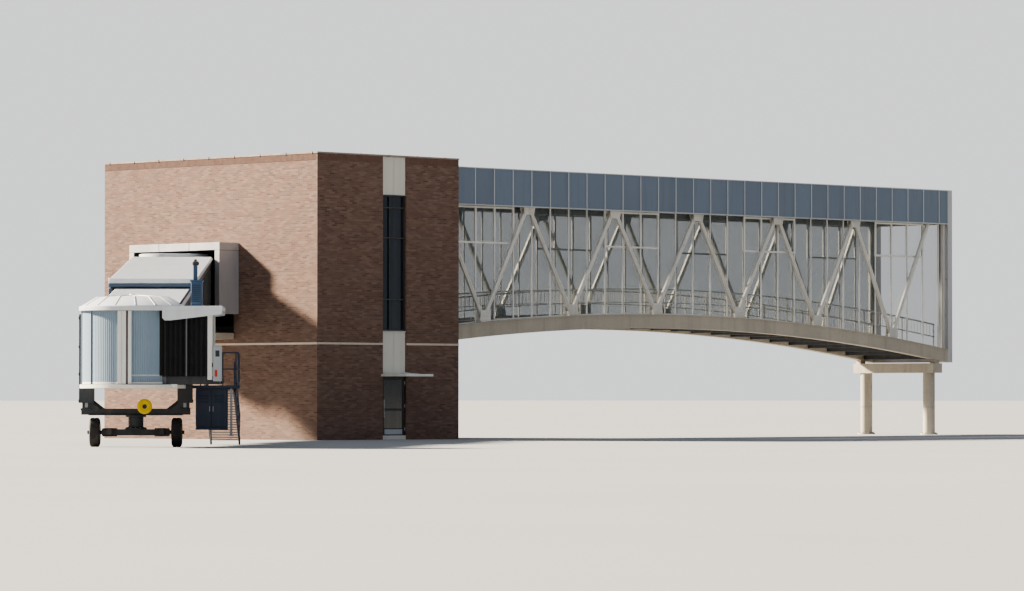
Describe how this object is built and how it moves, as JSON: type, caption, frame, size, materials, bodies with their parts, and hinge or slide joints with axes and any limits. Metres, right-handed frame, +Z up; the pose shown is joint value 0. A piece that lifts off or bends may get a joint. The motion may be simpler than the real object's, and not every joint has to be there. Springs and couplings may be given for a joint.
{
  "type": "airport boarding bridge with brick tower and link gallery, 1:2 scale model",
  "caption": "Passenger boarding bridge: brick gate tower, glazed arched truss gallery and sloping telescopic tunnels with a swivelling cab on a wheeled bogie; scale model.",
  "frame": {"origin": "centre of the brick tower's footprint at ground level", "axes": "+Z up, +Y from the tower along the gallery to the terminal wall, +X along the tower's front wall"},
  "size_m": [15.0841, 30.4576, 5.5],
  "materials": {
    "brick": "matt brickwork",
    "concrete": "smooth cast concrete",
    "slab": "floor screed",
    "roofing": "roof membrane",
    "coping_metal": "matt",
    "light_panel": "satin panel",
    "dark_glass": "tinted glazing",
    "clear_glass": "clear glazing",
    "door_paint": "satin",
    "portal_metal": "satin grey cladding",
    "fascia_metal": "blue-grey cladding",
    "truss_steel": "grey paint",
    "white_metal": "white paint",
    "roof_white": "white ribbed sheet",
    "dark_side": "dark glazed side wall",
    "band_blue": "dark blue paint",
    "slat": "light blue-grey slats",
    "steel_dark": "dark chassis paint",
    "steel_navy": "navy paint",
    "floor_metal": "ribbed floor",
    "bellows": "coated bellows cloth",
    "tyre": "solid tyre"
  },
  "bodies": {
    "tower": {"ground_slab": "slab", "upper_floor": "slab", "roof_slab": "roofing", "front_wall_sides": "brick", "front_wall_middle": "brick", "back_wall_sides": "brick", "back_wall_middle": "brick", "right_wall": "brick", "left_wall": "brick", "coping": "coping_metal", "strip_panels": "light_panel", "strip_glass": "dark_glass", "door_canopy": "white_metal", "portal_frame": "portal_metal", "portal_sill": "concrete", "gallery_beams": "concrete", "gallery_deck": "slab", "gallery_roof": "roofing", "gallery_fascia": "fascia_metal", "truss_right": "truss_steel", "truss_left": "truss_steel", "gallery_glass": "clear_glass", "gallery_rails": "white_metal", "gallery_end_frame": "portal_metal", "gallery_columns": "concrete"},
    "entrance_door": {"tower_door": "door_paint"},
    "rotunda": {"rotunda_floor": "floor_metal", "rotunda_roof": "roof_white", "rotunda_curtains": "slat"},
    "outer_tunnel": {"tunnel_a_floor": "floor_metal", "tunnel_a_roof": "roof_white", "tunnel_a_sides": "dark_side", "tunnel_a_end_band": "band_blue"},
    "inner_tunnel": {"tunnel_b_floor": "floor_metal", "tunnel_b_roof": "roof_white", "tunnel_b_sides": "dark_side"},
    "end_frame": {"end_floor": "steel_dark", "end_walls": "white_metal", "lift_columns": "portal_metal", "landing": "steel_navy", "curtain_1": "slat"},
    "side_door": {"service_door": "door_paint"},
    "stair_hanger": {"stair_head": "steel_navy"},
    "flight": {"stair": "steel_navy"},
    "shutter_2": {"curtain_2": "slat"},
    "shutter_3": {"curtain_3": "slat"},
    "cab": {"curtain_4": "slat", "cab_floor": "floor_metal", "cab_roof": "roof_white", "cab_posts": "white_metal", "cab_canopy": "bellows", "roof_unit": "band_blue"},
    "carriage": {"carriage_frame": "steel_dark"},
    "bogie": {"bogie_frame": "steel_dark"},
    "left_wheel": {"wheel_left": "tyre"},
    "right_wheel": {"wheel_right": "tyre"}
  },
  "joints": [
    {"name": "tower_door_hinge", "type": "hinge", "parent": "tower", "child": "entrance_door", "pos_m": [3.1175, 0.45, 0.65], "axis": [0, 0, 1], "range_deg": [0, 95]},
    {"name": "rotunda_swing", "type": "hinge", "parent": "tower", "child": "rotunda", "pos_m": [-0.45, -2.375, 2.12], "axis": [0, 0, 1], "range_deg": [-93, 0]},
    {"name": "tunnel_pitch", "type": "hinge", "parent": "rotunda", "child": "outer_tunnel", "pos_m": [0.06028, -2.85418, 2.1575], "axis": [-0.6845, -0.729, 0], "range_deg": [0, 5.2]},
    {"name": "tunnel_extend", "type": "slide", "parent": "outer_tunnel", "child": "inner_tunnel", "axis": [0.7265, -0.6823, -0.0818], "range_m": [-4.75, 0]},
    {"name": "end_level", "type": "hinge", "parent": "inner_tunnel", "child": "end_frame", "pos_m": [9.66444, -11.87309, 1.5595], "axis": [-0.6845, -0.729, 0], "range_deg": [-5.3, 0.1]},
    {"name": "side_door_hinge", "type": "hinge", "parent": "end_frame", "child": "side_door", "pos_m": [10.0075, -11.25213, 1.65], "axis": [0, 0, -1], "range_deg": [0, 90]},
    {"name": "stair_hanger_hinge", "type": "hinge", "parent": "end_frame", "child": "stair_hanger", "pos_m": [10.08194, -10.41322, 0.965], "axis": [-0.6845, -0.729, 0], "range_deg": [-0.1, 25.3]},
    {"name": "stair_hinge", "type": "hinge", "parent": "stair_hanger", "child": "flight", "pos_m": [10.08194, -10.41322, 0.965], "axis": [-0.6845, -0.729, 0], "range_deg": [-0.1, 7.7]},
    {"name": "shutter_2_turn", "type": "hinge", "parent": "end_frame", "child": "shutter_2", "pos_m": [10.39341, -12.55764, 1.6], "axis": [0, 0, 1], "range_deg": [-38.5, 0.1]},
    {"name": "shutter_3_turn", "type": "hinge", "parent": "end_frame", "child": "shutter_3", "pos_m": [10.39341, -12.55764, 1.6], "axis": [0, 0, 1], "range_deg": [-75, 0.1]},
    {"name": "cab_swivel", "type": "hinge", "parent": "end_frame", "child": "cab", "pos_m": [10.39341, -12.55764, 1.05], "axis": [0, 0, 1], "range_deg": [-115, 0]},
    {"name": "carriage_slide", "type": "slide", "parent": "rotunda", "child": "carriage", "axis": [0.729, -0.6845, 0], "range_m": [-4.74, 0.001]},
    {"name": "bogie_steer", "type": "hinge", "parent": "carriage", "child": "bogie", "pos_m": [9.66444, -11.87309, 0.4], "axis": [0, 0, 1], "range_deg": [-90, 90]},
    {"name": "left_wheel_spin", "type": "hinge", "parent": "bogie", "child": "left_wheel", "pos_m": [10.12651, -11.38104, 0.24], "axis": [0.6845, 0.729, 0], "continuous": true},
    {"name": "right_wheel_spin", "type": "hinge", "parent": "bogie", "child": "right_wheel", "pos_m": [9.20237, -12.36515, 0.24], "axis": [0.6845, 0.729, 0], "continuous": true}
  ],
  "couplings": [
    {"joint": "end_level", "follows": "tunnel_pitch", "ratio": -1},
    {"joint": "stair_hanger_hinge", "follows": "tunnel_pitch", "ratio": 4.846},
    {"joint": "stair_hinge", "follows": "tunnel_extend", "rad_per_m": -0.02774},
    {"joint": "carriage_slide", "follows": "tunnel_extend", "ratio": 0.99665},
    {"joint": "shutter_2_turn", "follows": "cab_swivel", "ratio": 0.33333},
    {"joint": "shutter_3_turn", "follows": "cab_swivel", "ratio": 0.65}
  ]
}
